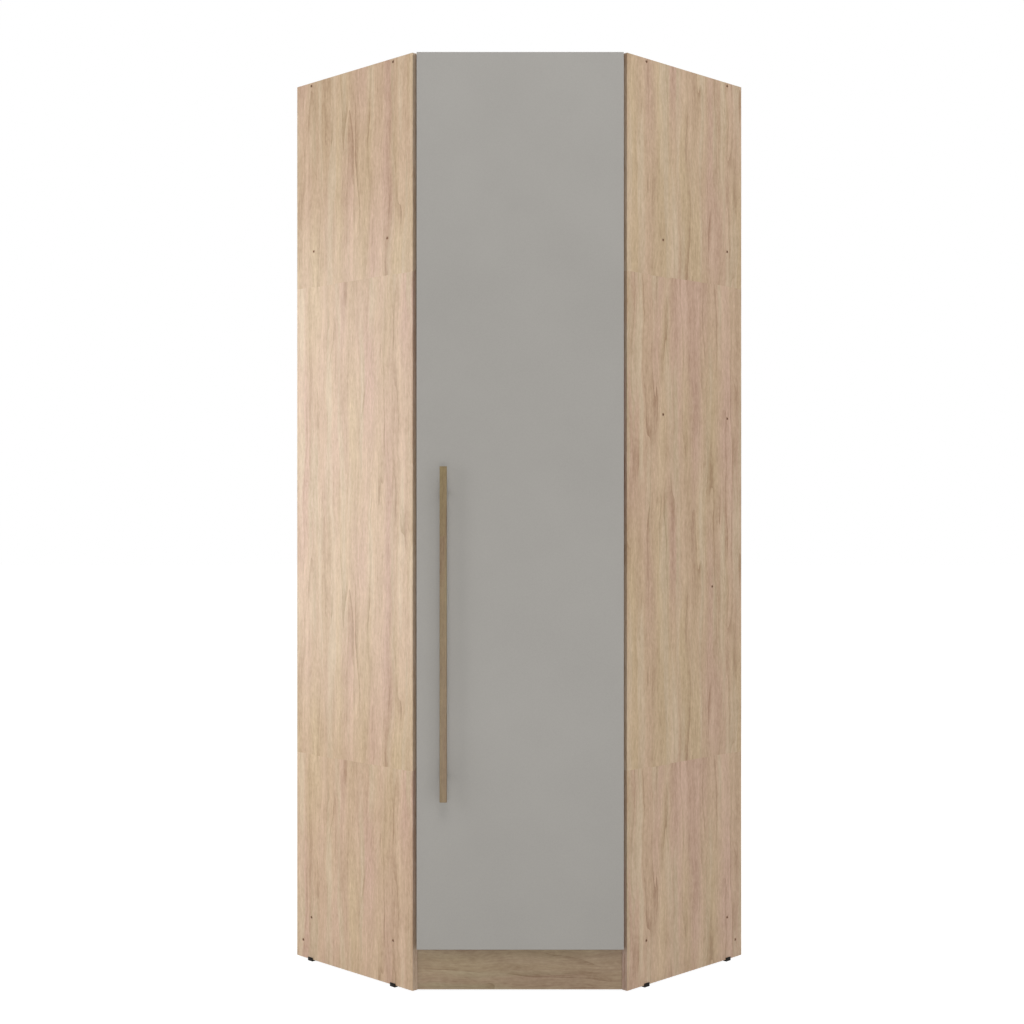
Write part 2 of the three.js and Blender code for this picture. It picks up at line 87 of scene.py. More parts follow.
def add(tree, kind, sockets, give=0, **settings):
    """Adds a shader node with its settings, values and links, and gives one of its outputs."""
    made = tree.nodes.new("ShaderNode" + kind)
    for name, value in settings.items():
        setattr(made, name, value)
    for name, value in sockets.items():
        if isinstance(value, bpy.types.NodeSocket):
            tree.links.new(value, made.inputs[name])
        else:
            made.inputs[name].default_value = value
    return made.outputs[give]


def start_material(name, **surface):
    """A material with the plain values of its shader, and the object's own coordinates."""
    material = bpy.data.materials.new(name)
    material.use_nodes = True
    tree = material.node_tree
    shader = tree.nodes["Principled BSDF"]
    for socket, value in surface.items():
        shader.inputs[socket.replace("_", " ")].default_value = value
    place = add(tree, "TexCoord", {}, give="Object")
    return material, tree, shader, place


def dress(tree, shader, **links):
    """Links nodes to the shader's sockets."""
    for socket, value in links.items():
        tree.links.new(value, shader.inputs[socket.replace("_", " ")])


# A Mix node's sockets, and its settings where it mixes two colours or multiplies them
FACTOR, PLAIN_A, PLAIN_B, COLOUR_A, COLOUR_B = 0, 2, 3, 6, 7
COLOURS = {"give": 2, "data_type": "RGBA"}
TINT = {**COLOURS, "blend_type": "MULTIPLY"}

# Oak print: the paper's pattern repeats up the board, and each printed plank starts its
# repeat at a height of its own
PRINT_REPEAT = 1172 * MM
PLANK_WIDTH = 75 * MM
PLANK_STEP = 4 * MM
# Width and length of what the print shows, the detail and roughness of its noise, and
# where the noise starts
PRINT = {
    "band": ((42 * MM, 900 * MM), 2.0, 0.5, 0.0),
    "blush": ((60 * MM, 500 * MM), 1.0, 0.5, 7.3),
    "cloud": ((32 * MM, 60 * MM), 3.0, 0.5, 23.0),
    "ribbon": ((24 * MM, 420 * MM), 1.5, 0.5, 29.0),
    "streak": ((10 * MM, 210 * MM), 2.0, 0.6, 3.1),
    "fibre": ((3.4 * MM, 42 * MM), 2.0, 0.6, 5.9),
    # Pores, drawn coarser than the real ones so that they show
    "pore": ((5 * MM, 13 * MM), 2.0, 0.6, 41.0),
    "ring": ((46 * MM, 520 * MM), 1.0, 0.5, 11.7),
    "patch": ((50 * MM, 170 * MM), 1.0, 0.5, 17.0),
}
DRIFTS_PER_METRE = (14, 14, 6)
DRIFT = 14 * MM
# The print's tone, from dark at 0 to light at 1, and what makes it lighter or darker
TONE = 0.51
LIGHTER = {"band": 0.7, "cloud": 0.4, "streak": 0.5, "fibre": 0.6, "pore": 0.65}
RINGS = 4
RING_SHARPNESS = 6.0
RING_DARKNESS = 0.5
KNOT = (90 * MM, 300 * MM)
KNOT_RADIUS = 0.06
KNOT_DARKNESS = 0.3
# Its hue, from straw at 0 to rose at 1: how it changes up a repeat and from plank to plank
ROSE_CLIMB = 0.15
ROSE_CHANCE = 0.06
# Dark and light tones
STRAW = ("#A1825F", "#DCC4A0")
ROSE = ("#A27D63", "#DDBDA7")
SAPWOOD = ("#AB9270", "#DFC9AD")
CHIPS = ("#8A6A48", "#CFB084")
# Painted shade: a darker tint on the strip along each front edge, standing in for the shade
# that the door casts into the groove beside it
PAINTED_EDGE_SHADE = "#E6E9F4"
CHIP = 2.5 * MM
CHIP_ROUGHNESS = 0.85


def oak_board(name, across, along, start, tint_and_painted_shade=None, bare_ends=True):
    # Particle board faced with printed oak paper under melamine resin, pressed to a fine grain:
    # a pale, low-contrast print with a satin gloss. Rear edges and lower ends are bare chips.
    material, tree, shader, place = start_material(name, IOR=1.5)
    turn = Matrix((across, along.cross(across), along)).to_euler()
    turned_place = add(tree, "Mapping", {"Vector": place, "Rotation": turn, "Location": start})
    x, y, z = add(tree, "SeparateXYZ", {"Vector": turned_place}).node.outputs

    line_of_planks = {"give": "Color", "voronoi_dimensions": "1D"}
    plank = add(tree, "TexVoronoi", {"W": x, "Scale": 1 / PLANK_WIDTH}, **line_of_planks)
    chance = add(tree, "SeparateColor", {"Color": plank}).node.outputs
    step_range = {"To Min": -PLANK_STEP / 2, "To Max": PLANK_STEP / 2}
    step = add(tree, "MapRange", {"Value": chance[0], **step_range})
    raised = add(tree, "Math", {0: z, 1: step}, operation="ADD")
    local = add(tree, "Math", {0: raised, 1: PRINT_REPEAT}, operation="FLOORED_MODULO")

    # The grain wanders to each side by a few millimetres as it climbs
    drift_place = add(tree, "CombineXYZ", {0: x, 1: y, 2: local})
    drift_place = add(tree, "Mapping", {"Vector": drift_place, "Scale": DRIFTS_PER_METRE})
    drift = add(tree, "TexNoise", {"Vector": drift_place, "Scale": 1.0, "Detail": 2.0})
    drift = add(tree, "MapRange", {"Value": drift, "To Min": -DRIFT, "To Max": DRIFT})
    bent = add(tree, "Math", {0: x, 1: drift}, operation="ADD")
    grain_place = add(tree, "CombineXYZ", {0: bent, 1: y, 2: local})

    def stretched(size, shift=0.0):
        width, length = size
        scale = (1 / width, 1 / width, 1 / length)
        shifts = (shift, shift, shift)
        return add(tree, "Mapping", {"Vector": grain_place, "Scale": scale, "Location": shifts})

    grain = {}
    for part, (size, detail, rough, shift) in PRINT.items():
        noise = {"Vector": stretched(size, shift), "Detail": detail, "Roughness": rough}
        grain[part] = add(tree, "TexNoise", {**noise, "Scale": 1.0})

    # Growth rings: each darkens slowly to a thin brown line, and they fade in and out
    ring = add(tree, "Math", {0: grain["ring"], 1: RINGS}, operation="MULTIPLY")
    ring = add(tree, "Math", {0: ring}, operation="FRACT")
    line = add(tree, "Math", {0: ring, 1: RING_SHARPNESS}, operation="POWER")
    broken = add(tree, "MapRange", {"Value": grain["patch"], "From Min": 0.42, "From Max": 0.62})
    lines = add(tree, "Math", {0: line, 1: broken}, operation="MULTIPLY")

    # Small knots, a few on each plank
    distance = add(tree, "TexVoronoi", {"Vector": stretched(KNOT), "Scale": 1.0})
    knot_range = {"From Max": KNOT_RADIUS, "To Min": 1.0, "To Max": 0.0}
    knots = add(tree, "MapRange", {"Value": distance, **knot_range})

    tone = TONE
    for part, share in LIGHTER.items():
        centred = add(tree, "Math", {0: grain[part], 1: 0.5}, operation="SUBTRACT")
        tone = add(tree, "Math", {0: centred, 1: share, 2: tone}, operation="MULTIPLY_ADD")
    for mark, darkness in ((lines, RING_DARKNESS), (knots, KNOT_DARKNESS)):
        tone = add(tree, "Math", {0: mark, 1: -darkness, 2: tone}, operation="MULTIPLY_ADD")

    # The print turns from straw at the foot of each repeat to rose at its head
    climb_range = {"From Max": PRINT_REPEAT, "To Min": -ROSE_CLIMB, "To Max": ROSE_CLIMB}
    climb = add(tree, "MapRange", {"Value": local, **climb_range})
    own_range = {"To Min": -ROSE_CHANCE, "To Max": ROSE_CHANCE}
    own = add(tree, "MapRange", {"Value": chance[1], **own_range})
    rosy = add(tree, "MapRange", {"Value": grain["blush"], "From Min": 0.3, "From Max": 0.7})
    rosy = add(tree, "Math", {0: rosy, 1: climb}, operation="ADD")
    rosy = add(tree, "Math", {0: rosy, 1: own}, operation="ADD", use_clamp=True)
    # Ribbons of pale sapwood run through it
    pale_range = {"From Min": 0.54, "From Max": 0.68, "To Max": 0.85}
    pale = add(tree, "MapRange", {"Value": grain["ribbon"], **pale_range})
    ends = []
    for woods in zip(STRAW, ROSE, SAPWOOD):
        straw, rose, sapwood = (linear(wood) for wood in woods)
        end = add(tree, "Mix", {FACTOR: rosy, COLOUR_A: straw, COLOUR_B: rose}, **COLOURS)
        end = add(tree, "Mix", {FACTOR: pale, COLOUR_A: end, COLOUR_B: sapwood}, **COLOURS)
        ends.append(end)
    colour = add(tree, "Mix", {FACTOR: tone, COLOUR_A: ends[0], COLOUR_B: ends[1]}, **COLOURS)
    # A tint over the print: the handle's darker foil, and painted shade on the plinth
    if tint_and_painted_shade:
        tint_and_shade_mix = {FACTOR: 1.0, COLOUR_A: colour, COLOUR_B: linear(tint_and_painted_shade)}
        colour = add(tree, "Mix", tint_and_shade_mix, **TINT)

    gloss = add(tree, "MapRange", {"Value": grain["fibre"], "To Min": 0.31, "To Max": 0.43})
    if bare_ends:
        chips = add(tree, "TexVoronoi", {"Vector": place, "Scale": 1 / CHIP}, give="Color")
        chip = add(tree, "SeparateColor", {"Color": chips})
        dark, light = (linear(chip_tone) for chip_tone in CHIPS)
        raw = add(tree, "Mix", {FACTOR: chip, COLOUR_A: dark, COLOUR_B: light}, **COLOURS)
        facing = add(tree, "TexCoord", {}, give="Normal")
        facing = add(tree, "Mapping", {"Vector": facing, "Rotation": turn}, vector_type="VECTOR")
        facing = add(tree, "SeparateXYZ", {"Vector": facing}).node.outputs
        # The strip glued along the front edge gets painted shade, a darker tint standing in
        # for the shade the door casts into the groove beside it
        painted_edge_mask = add(tree, "MapRange", {"Value": facing[0], "From Min": 0.85, "From Max": 0.95})
        tint_and_shade_mix = {FACTOR: painted_edge_mask, COLOUR_A: colour, COLOUR_B: linear(PAINTED_EDGE_SHADE)}
        colour = add(tree, "Mix", tint_and_shade_mix, **TINT)
        least = add(tree, "Math", {0: facing[0], 1: facing[2]}, operation="MINIMUM")
        bare = add(tree, "MapRange", {"Value": least, "From Min": -0.85, "From Max": -0.95})
        colour = add(tree, "Mix", {FACTOR: bare, COLOUR_A: colour, COLOUR_B: raw}, **COLOURS)
        gloss = add(tree, "Mix", {FACTOR: bare, PLAIN_A: gloss, PLAIN_B: CHIP_ROUGHNESS})
    bump = add(tree, "Bump", {"Height": grain["fibre"], "Strength": 0.25, "Distance": 0.1 * MM})
    dress(tree, shader, Base_Color=colour, Roughness=gloss, Normal=bump)
    return material


def grey_front():
    # Particle board faced with a satin grey melamine foil, pressed smooth: an even warm grey
    # with a soft gloss and a very fine orange peel.
    material, tree, shader, place = start_material("satin_grey_melamine", IOR=1.5)
    cloud = add(tree, "TexNoise", {"Vector": place, "Scale": 1 / (160 * MM), "Detail": 2.0})
    speck = add(tree, "TexNoise", {"Vector": place, "Scale": 1 / (3.5 * MM), "Detail": 1.0})
    mixed = add(tree, "Math", {0: cloud, 1: speck}, operation="ADD")
    share = add(tree, "MapRange", {"Value": mixed, "From Min": 0.6, "From Max": 1.4})
    greys = {COLOUR_A: linear("#A09D98"), COLOUR_B: linear("#A6A39E")}
    colour = add(tree, "Mix", {FACTOR: share, **greys}, **COLOURS)
    # Orange peel of about half a millimetre, drawn coarser so that it shows
    peel = add(tree, "TexNoise", {"Vector": place, "Scale": 1 / (2.0 * MM), "Detail": 1.0})
    bump = add(tree, "Bump", {"Height": peel, "Strength": 0.12, "Distance": 0.05 * MM})
    gloss = add(tree, "MapRange", {"Value": speck, "To Min": 0.42, "To Max": 0.54})
    dress(tree, shader, Base_Color=colour, Roughness=gloss, Normal=bump)
    return material


def back_board():
    # Hardboard of pressed wood fibre: brown and fibrous to the wall, with a pale matt lacquer
    # to the inside.
    material, tree, shader, place = start_material("lacquered_hardboard", IOR=1.48)
    fibres = {"Scale": 1 / (4 * MM), "Detail": 3.0, "Distortion": 0.6}
    fibre = add(tree, "TexNoise", {"Vector": place, **fibres})
    cloud = add(tree, "TexNoise", {"Vector": place, "Scale": 1 / (300 * MM), "Detail": 2.0})
    mixed = add(tree, "Math", {0: cloud, 1: 0.4, 2: fibre}, operation="MULTIPLY_ADD")
    share = add(tree, "MapRange", {"Value": mixed, "From Min": 0.4, "From Max": 1.0})
    browns = {COLOUR_A: linear("#7A5C42"), COLOUR_B: linear("#9C7B5B")}
    raw = add(tree, "Mix", {FACTOR: share, **browns}, **COLOURS)
    whites = {COLOUR_A: linear("#D9D3C7"), COLOUR_B: linear("#E2DDD2")}
    lacquer = add(tree, "Mix", {FACTOR: share, **whites}, **COLOURS)
    facing = add(tree, "TexCoord", {}, give="Normal")
    toward_wall = add(tree, "SeparateXYZ", {"Vector": facing}).node.outputs[1]
    outside = add(tree, "MapRange", {"Value": toward_wall, "From Min": -0.1, "From Max": 0.1})
    colour = add(tree, "Mix", {FACTOR: outside, COLOUR_A: lacquer, COLOUR_B: raw}, **COLOURS)
    gloss = add(tree, "MapRange", {"Value": outside, "To Min": 0.5, "To Max": 0.8})
    bump = add(tree, "Bump", {"Height": fibre, "Strength": 0.3, "Distance": 0.2 * MM})
    dress(tree, shader, Base_Color=colour, Roughness=gloss, Normal=bump)
    return material


def softwood():
    # Planed pine: pale yellow, with straight darker rings.
    material, tree, shader, place = start_material("planed_pine", IOR=1.5)
    rings_per_metre = (260, 260, 4)
    scaled = add(tree, "Mapping", {"Vector": place, "Scale": rings_per_metre})
    rings = add(tree, "TexNoise", {"Vector": scaled, "Scale": 1.0, "Detail": 2.0})
    share = add(tree, "MapRange", {"Value": rings, "From Min": 0.35, "From Max": 0.65})
    yellows = {COLOUR_A: linear("#B98F5E"), COLOUR_B: linear("#DDBD8C")}
    colour = add(tree, "Mix", {FACTOR: share, **yellows}, **COLOURS)
    gloss = add(tree, "MapRange", {"Value": rings, "To Min": 0.6, "To Max": 0.75})
    dress(tree, shader, Base_Color=colour, Roughness=gloss)
    return material


def metal(name, dull, bright, rough, fine):
    """A metal whose tone and gloss change a little from place to place."""
    material, tree, shader, place = start_material(name, Metallic=1.0)
    grain = add(tree, "TexNoise", {"Vector": place, "Scale": 1 / fine, "Detail": 2.0})
    share = add(tree, "MapRange", {"Value": grain, "From Min": 0.3, "From Max": 0.7})
    tones = {COLOUR_A: linear(dull), COLOUR_B: linear(bright)}
    colour = add(tree, "Mix", {FACTOR: share, **tones}, **COLOURS)
    low, high = rough
    gloss = add(tree, "MapRange", {"Value": grain, "To Min": high, "To Max": low})
    bump = add(tree, "Bump", {"Height": grain, "Strength": 0.1, "Distance": 0.05 * MM})
    dress(tree, shader, Base_Color=colour, Roughness=gloss, Normal=bump)
    return material


def plastic(name, dark, light, rough, fine, **surface):
    """A moulded plastic with a fine texture from its mould."""
    material, tree, shader, place = start_material(name, IOR=1.5, **surface)
    grain = add(tree, "TexNoise", {"Vector": place, "Scale": 1 / fine, "Detail": 2.0})
    tones = {COLOUR_A: linear(dark), COLOUR_B: linear(light)}
    colour = add(tree, "Mix", {FACTOR: grain, **tones}, **COLOURS)
    smooth, dull = rough
    gloss = add(tree, "MapRange", {"Value": grain, "To Min": smooth, "To Max": dull})
    bump = add(tree, "Bump", {"Height": grain, "Strength": 0.2, "Distance": 0.05 * MM})
    dress(tree, shader, Base_Color=colour, Roughness=gloss, Normal=bump)
    return material


# Each board's print: its direction across the grain and along it, where it starts, the tint
# laid over it, and whether its ends are bare
PRINTS = {
    "right_panel": ("oak_print_right_panel", LEFT_WALL, UP, (0.031, 0.4, 0.6525)),
    "left_panel": ("oak_print_left_panel", RIGHT_WALL, UP, (0.713, 1.3, 0.6525)),
    "divider": ("oak_print_divider", LEFT_WALL, UP, (2.2, 0.9, 0.31)),
    "wide": ("oak_print_wide_boards", -FRONT_TO_BACK, LEFT_TO_RIGHT, (3.1, 2.2, 0.6)),
    "right_wall": ("oak_print_column_shelves", LEFT_WALL, RIGHT_WALL, (4.1, 1.2, 0.2)),
    "right_rail": ("oak_print_right_rail", UP, RIGHT_WALL, (0.6, 5.2, 0.5)),
    "left_rail": ("oak_print_left_rail", UP, LEFT_WALL, (0.8, 6.2, 0.4)),
    # The plinth's tint is painted shade: it darkens the whole board below the door
    "plinth": ("oak_print_plinth", UP, LEFT_TO_RIGHT, (1.9, 3.3, 0.82), "#CED1CA"),
    "handle": ("oak_foil_handle", LEFT_TO_RIGHT, UP, (6.1, 0.2, 0.1), "#AEAE98", False),
}
oak = {board: oak_board(*print_of) for board, print_of in PRINTS.items()}
grey = grey_front()
hardboard = back_board()
pine = softwood()
# Pressed steel strip, nickel-plated: warm grey with a soft shine
nickel = metal("nickel_plated_steel", "#A9A69F", "#BDB9B1", (0.24, 0.36), 4 * MM)
# Drawn steel tube, chrome-plated: bright and smooth, a little cloudy
chrome = metal("chrome_plated_tube", "#C4C5C6", "#D6D6D6", (0.1, 0.18), 2 * MM)
# Hardened steel screws, phosphated: brown and dull
brown = metal("phosphated_steel", "#7A604C", "#947760", (0.4, 0.55), 1 * MM)
# Steel screws and nails, zinc-plated: a bluish grey with a soft shine
zinc = metal("zinc_plated_steel", "#A3A6A9", "#B9BBBD", (0.25, 0.4), 1.5 * MM)
# Moulded polyethylene: black, waxy, with a dull skin that shines little
dull_skin = {"Specular_IOR_Level": 0.2}
black = plastic("black_polyethylene", "#0D0A07", "#17130F", (0.6, 0.8), 1.5 * MM, **dull_skin)
# Cast polyurethane drops: clear and soft
see_through = {"Transmission_Weight": 0.75}
clear = plastic("clear_polyurethane", "#DDDFDC", "#E6E7E4", (0.12, 0.2), 2 * MM, **see_through)


def finish_board(name, material):
    """Gives a CAD node its material, and rounds its edges."""
    node = frame["nodes"][name]
    node.data.materials.clear()
    node.data.materials.append(material)
    weld = node.modifiers.new("weld", "WELD")
    weld.merge_threshold = 10 * SAME_POINT
    bevel = node.modifiers.new("edges", "BEVEL")
    bevel.width = EDGE_ROUND
    bevel.segments = 2
    bevel.limit_method = "ANGLE"
    bevel.angle_limit = LEAST_CORNER
    bevel.use_clamp_overlap = True
    flat = node.modifiers.new("flat_faces", "WEIGHTED_NORMAL")
    flat.weight = 100


boards = {
    "right_side_panel": oak["right_panel"],
    "left_side_panel": oak["left_panel"],
    "top_panel": oak["wide"],
    "bottom_panel": oak["wide"],
    "hat_shelf": oak["wide"],
    "column_divider": oak["divider"],
    "upper_column_shelf": oak["right_wall"],
    "lower_column_shelf": oak["right_wall"],
    "front_plinth": oak["plinth"],
    "right_rear_rail": oak["right_rail"],
    "left_rear_rail": oak["left_rail"],
    "door_panel": grey,
    "left_back_board": hardboard,
    "right_back_board": hardboard,
    "corner_post": pine,
    "handle_bar": oak["handle"],
}
for name, material in boards.items():
    finish_board(name, material)


def extent(node, direction):
    """The least and greatest distance of a node's points along a direction."""
    reaches = [v.co.dot(direction) for v in frame["nodes"][node].data.vertices]
    return min(reaches), max(reaches)


def middle_of(node, direction):
    return sum(extent(node, direction)) / 2


def end_frame(node, axis):
    """A frame on the node's first end along a level axis, with its own Z along that axis."""
    side = axis.cross(UP)
    middle = side * middle_of(node, side) + UP * middle_of(node, UP)
    origin = axis * extent(node, axis)[0] + middle
    turn = Matrix((side, axis.cross(side), axis)).transposed().to_4x4()
    return Matrix.Translation(origin) @ turn


def join(shape, part, place=None):
    """Adds a closed part to a shape, with its doubles merged, and moved to its place."""
    bmesh.ops.remove_doubles(part, verts=part.verts[:], dist=SAME_POINT)
    if place is not None:
        bmesh.ops.transform(part, matrix=place, verts=part.verts)
    mesh = bpy.data.meshes.new("part")
    part.to_mesh(mesh)
    part.free()
    shape.from_mesh(mesh)
    bpy.data.meshes.remove(mesh)


def block(shape, low, high, rounding, place=None):
    """Adds a box between two corners, with rounded edges."""
    part = bmesh.new()
    low, high = Vector(low), Vector(high)
    size = Matrix.Diagonal((*(high - low), 1))
    bmesh.ops.create_cube(part, size=1.0, matrix=Matrix.Translation((low + high) / 2) @ size)
    bmesh.ops.bevel(
        part,
        geom=part.edges[:],
        offset=rounding,
        segments=2,
        profile=0.5,
        affect="EDGES",
        clamp_overlap=True,
        material=-1,
    )
    join(shape, part, place)


def turned(shape, profile, sides, place=None, socket=None):
    """Adds a shape turned about Z from radius and height pairs. A socket is the radius of the
    points to move in, the number of its lobes, and how deep they are cut."""
    part = bmesh.new()
    points = [part.verts.new((radius, 0, height)) for radius, height in profile]
    edges = [part.edges.new(pair) for pair in zip(points, points[1:])]
    bmesh.ops.spin(
        part,
        geom=points + edges,
        cent=(0, 0, 0),
        axis=(0, 0, 1),
        angle=math.tau,
        steps=sides,
        use_merge=True,
        use_duplicate=False,
    )
    bmesh.ops.remove_doubles(part, verts=part.verts[:], dist=SAME_POINT)
    if socket:
        radius, lobes, depth = socket
        for vert in part.verts:
            if 0 < vert.co.xy.length <= radius + SAME_POINT:
                angle = math.atan2(vert.co.y, vert.co.x)
                wave = abs(math.cos(lobes * angle / 2))
                vert.co.xy *= 1 - depth * (1 - wave)
    join(shape, part, place)


def add_piece(name, shape, material, body, nodes=(), place=None):
    """Makes a piece of a shape, which rides on a body and stands for CAD nodes."""
    if place is not None:
        bmesh.ops.transform(shape, matrix=place, verts=shape.verts)
    bmesh.ops.recalc_face_normals(shape, faces=shape.faces[:])
    mesh = bpy.data.meshes.new(name)
    shape.to_mesh(mesh)
    shape.free()
    mesh.shade_smooth()
    mesh.set_sharp_from_angle(angle=SMOOTH_TURN)
    mesh.materials.append(material)
    piece = bpy.data.objects.new(name, mesh)
    bpy.context.scene.collection.objects.link(piece)
    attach(piece, body)
    if nodes:
        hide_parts(*nodes)


# A cross recess has four lobes, cut in by this share of its radius
CROSS = (4, 0.65)
# In a domed head, as shares of the head's radius and height, or of the recess's radius
CROSS_WIDTH = 0.55
CROSS_FOOT = 0.4
CROSS_TAPER = 0.8
DOME_TURN = (0.8, 0.85)


def screw_head(shape, place, radius, height):
    """Adds a domed screw head with a cross recess, its own Z out of what it holds."""
    mouth, foot = radius * CROSS_WIDTH, height * CROSS_FOOT
    profile = [
        (0, foot),
        (mouth * CROSS_TAPER, foot),
        (mouth, height),
        (radius * DOME_TURN[0], height * DOME_TURN[1]),
        (radius, foot),
        (radius, 0),
        (0, 0),
    ]
    turned(shape, profile, SCREW_SIDES, place, socket=(mouth, *CROSS))


def threaded_screw(head, neck, shank, core, length, pitch, mouth, depth, lobes):
    """A screw along Z with its head's face at zero, a socket in the head and a thread. The
    lobes are their number and how deep they are cut."""
    shape = bmesh.new()
    profile = [
        (0, depth),
        (mouth, depth),
        (mouth, SOFT_EDGE / 4),
        (head - SOFT_EDGE, 0),
        (head, SOFT_EDGE),
        (head, neck - SOFT_EDGE),
        (shank, neck),
    ]
    height = neck + 2 * pitch
    while height < length - 1.5 * pitch:
        profile += [(core, height), (shank, height + pitch / 2)]
        height += pitch
    profile += [(core, height), (0, length)]
    turned(shape, profile, SCREW_SIDES, socket=(mouth, *lobes))
    return shape


def moved(*offset):
    return Matrix.Translation(Vector(offset))


# Screws through the side panels: flat heads with a hexagonal socket, and a coarse thread
panel_screw = {
    "head": 3.2 * MM,
    "neck": 4 * MM,
    "shank": 2.4 * MM,
    "core": 1.8 * MM,
    "length": 50 * MM,
    "pitch": 3 * MM,
    "mouth": 1.7 * MM,
    "depth": 2.5 * MM,
    "lobes": (6, 0.134),
}
for side, inward in INWARD.items():
    for node in sorted(n for n in frame["nodes"] if n.startswith(side + "_screw_")):
        name = node.replace("_screw_", "_panel_screw_")
        shape = threaded_screw(**panel_screw)
        add_piece(name, shape, brown, "carcass", [node], end_frame(node, inward))

# Screws from the door's back into the handle, with a cross recess
handle_screw = {
    "head": 4 * MM,
    "neck": 2.2 * MM,
    "shank": 2 * MM,
    "core": 1.7 * MM,
    "length": 49.5 * MM,
    "pitch": 1.4 * MM,
    "mouth": 2.2 * MM,
    "depth": 1.2 * MM,
    "lobes": CROSS,
}
SPACER_RADIUS = 6 * MM
SPACER_BORE = 2.3 * MM
for end in ("lower", "upper"):
    node = end + "_handle_screw"
    place = end_frame(node, -FRONT_TO_BACK)
    shape = threaded_screw(**handle_screw)
    add_piece(end + "_bar_screw", shape, zinc, "door", [node], place)

    node = end + "_handle_spacer"
    length = extent(node, FRONT_TO_BACK)[1] - extent(node, FRONT_TO_BACK)[0]
    profile = [
        (SPACER_BORE, 0),
        (SPACER_RADIUS - SOFT_EDGE, 0),
        (SPACER_RADIUS, SOFT_EDGE),
        (SPACER_RADIUS, length - SOFT_EDGE),
        (SPACER_RADIUS - SOFT_EDGE, length),
        (SPACER_BORE, length),
        (SPACER_BORE, 0),
    ]
    shape = bmesh.new()
    turned(shape, profile, FINE_SIDES)
    place = end_frame(node, FRONT_TO_BACK)
    add_piece(end + "_bar_spacer", shape, oak["handle"], "door", [node], place)

# Hinges. A cup in the door holds the pin, and an arm goes from the pin over a plate on the
# side panel.
CUP_RADIUS = 17.5 * MM
CUP_DEPTH = 12.8 * MM
CUP_WALL = 1 * MM
CUP_RIM = 19 * MM
CUP_ROUND = 1.5 * MM
FLANGE_THICKNESS = 1.2 * MM
WING_WIDTH = 12 * MM
WING_START = 14.5 * MM
WING_INSET = 9.5 * MM
WING_SCREW_REACH = 24 * MM
WING_SCREW = (3.4 * MM, 1.4 * MM)
CHEEK_WIDTH = 6 * MM
CHEEK_NEAR = 4.5 * MM
CHEEK_FAR = 7.5 * MM
CHEEK_RISE = 2.5 * MM
PIN_RADIUS = 1.5 * MM
PIN_REACH = 6 * MM
EYE_BORE = 1.7 * MM
EYE_RADIUS = 2.8 * MM
ARM_THICKNESS = 2.5 * MM
ARM_WIDTH = 8 * MM
ARM_REACH = 14 * MM
ARM_RISE = 17 * MM
CHANNEL_START = 12 * MM
CHANNEL_END = 66 * MM
CHANNEL_DEPTH = 9 * MM
CHANNEL_WIDTH = 14 * MM
CHANNEL_WALL = 1.2 * MM
CHANNEL_SCREWS = (25 * MM, 50 * MM)
CHANNEL_SCREW = (3.6 * MM, 1.2 * MM)
PLATE_START = 18 * MM
PLATE_END = 62 * MM
PLATE_THICKNESS = 2.5 * MM
PLATE_WING = 18 * MM
PLATE_REACH = 24 * MM
PLATE_SCREW_REACH = 17 * MM
PLATE_SCREW = (4 * MM, 1.8 * MM)
SADDLE_WIDTH = 10 * MM

Z_TO_Y = Matrix.Rotation(-math.pi / 2, 4, "X")
Z_TO_X = Matrix.Rotation(math.pi / 2, 4, "Y")
pivot = Vector(frame["joints"][0]["pos_m"])
door_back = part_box("door_panel")[1].y
cup_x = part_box("hinge_1_cup")[1].x - CUP_RIM
panel_along = -LEFT_WALL  # along the right side panel, from the door's side to the rear
panel_out = INWARD["right"]  # out from its inner face
panel_corner = panel_along * extent("right_side_panel", panel_along)[0]
panel_corner += panel_out * extent("right_side_panel", panel_out)[1]


def wing(shape, way, top):
    """Adds one of the cup's two wings, round at its screw and run back over the rim."""
    part = bmesh.new()
    half = WING_WIDTH / 2
    disc = [
        (0, SEAT_GAP),
        (half, SEAT_GAP),
        (half, top - SOFT_EDGE),
        (half - SOFT_EDGE, top),
        (0, top),
    ]
    turned(part, disc, SCREW_SIDES)
    run, longest = WING_SCREW_REACH - CUP_RIM, WING_SCREW_REACH - WING_START
    for vert in part.verts:
        reach = vert.co.y * way
        if reach > SEAT_GAP:
            vert.co.y = way * min(reach + run, longest)
    join(shape, part, moved(-WING_INSET, 0, way * WING_SCREW_REACH) @ Z_TO_Y)


